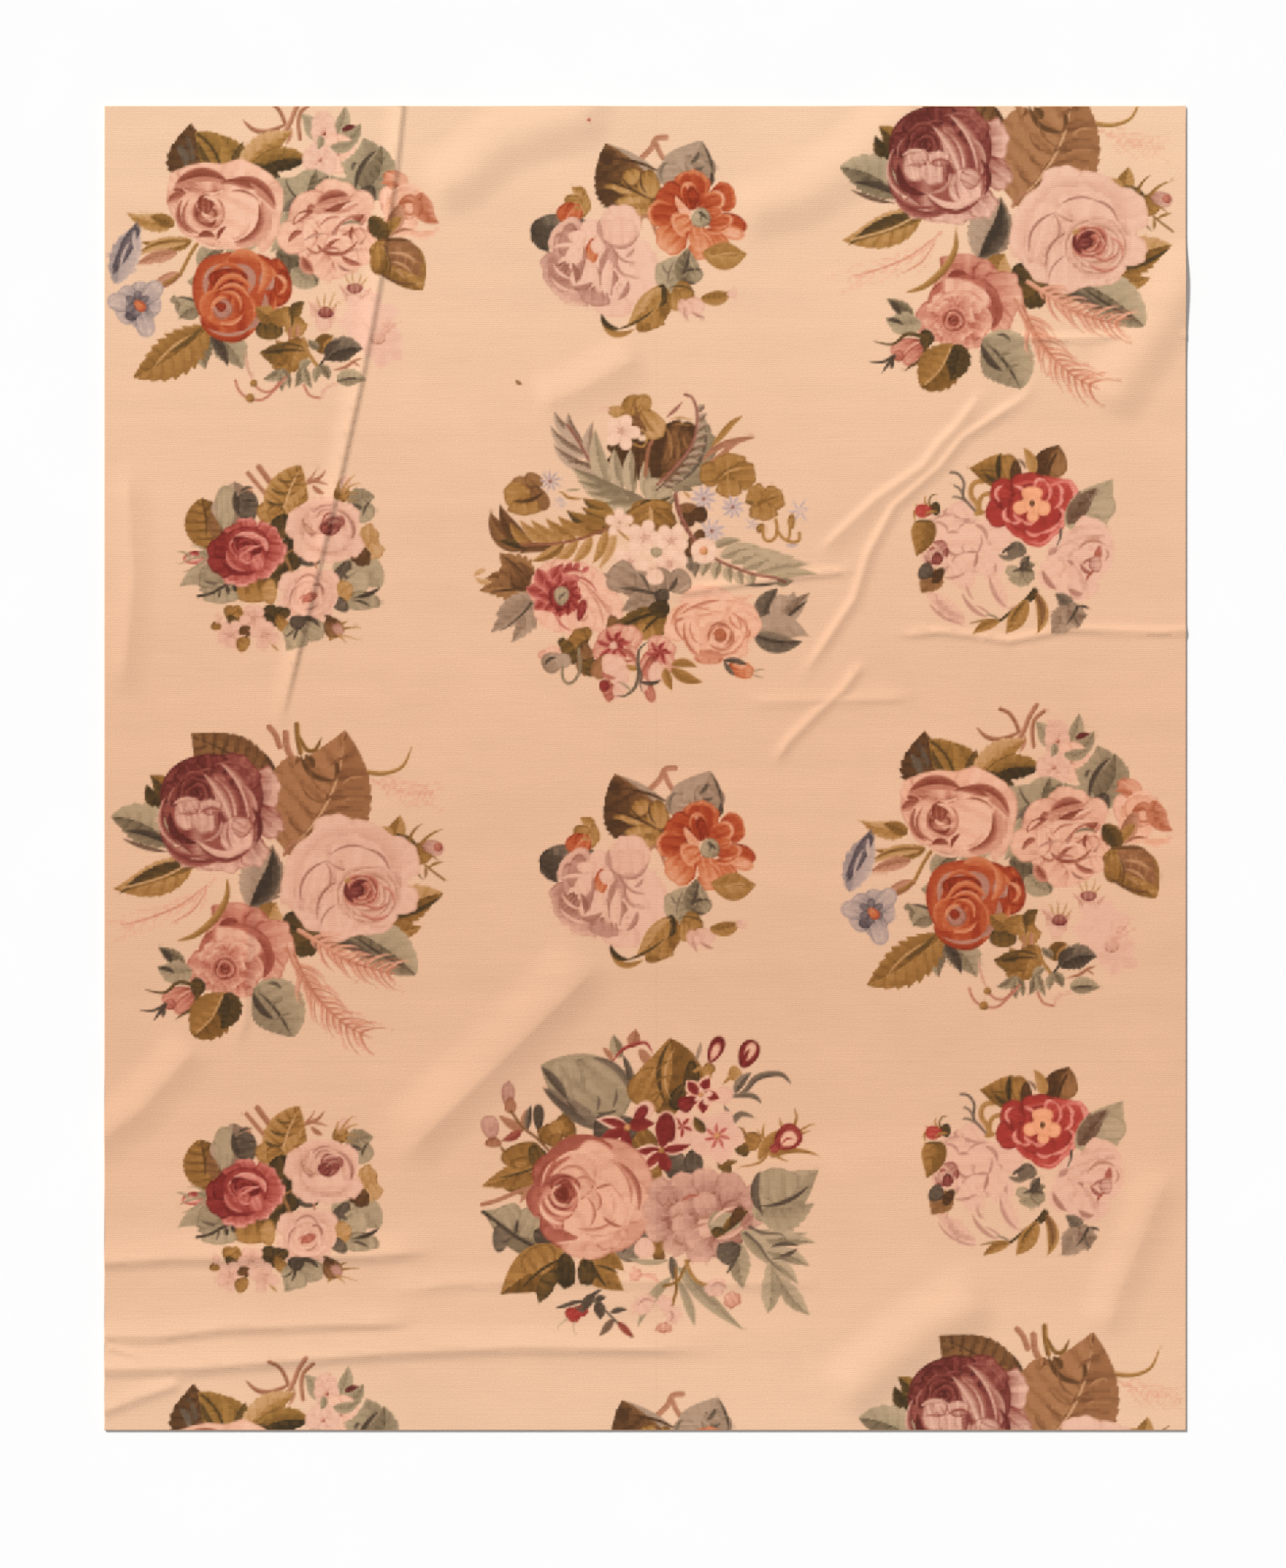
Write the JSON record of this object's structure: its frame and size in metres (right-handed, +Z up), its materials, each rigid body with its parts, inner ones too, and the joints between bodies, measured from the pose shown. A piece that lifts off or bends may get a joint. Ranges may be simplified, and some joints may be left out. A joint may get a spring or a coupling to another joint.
{
  "type": "aubusson rug",
  "caption": "Thin flat-woven wool tapestry rug with scattered rose bouquets on a peach ground, lying flat with light creases and a long pleat.",
  "frame": {"origin": "middle of the rug, on the surface that it lies on", "axes": "+Z up, square to the rug; +Y along its length, towards the end where the bouquets' stems point; +X across its width"},
  "size_m": [1.46, 1.788, 0.008],
  "materials": {
    "tapestry_wool": "matt weft-faced wool tapestry, peach ground with rose, copper brown and grey green bouquets"
  },
  "bodies": {
    "root": {"rug_cloth": "tapestry_wool"}
  },
  "joints": []
}
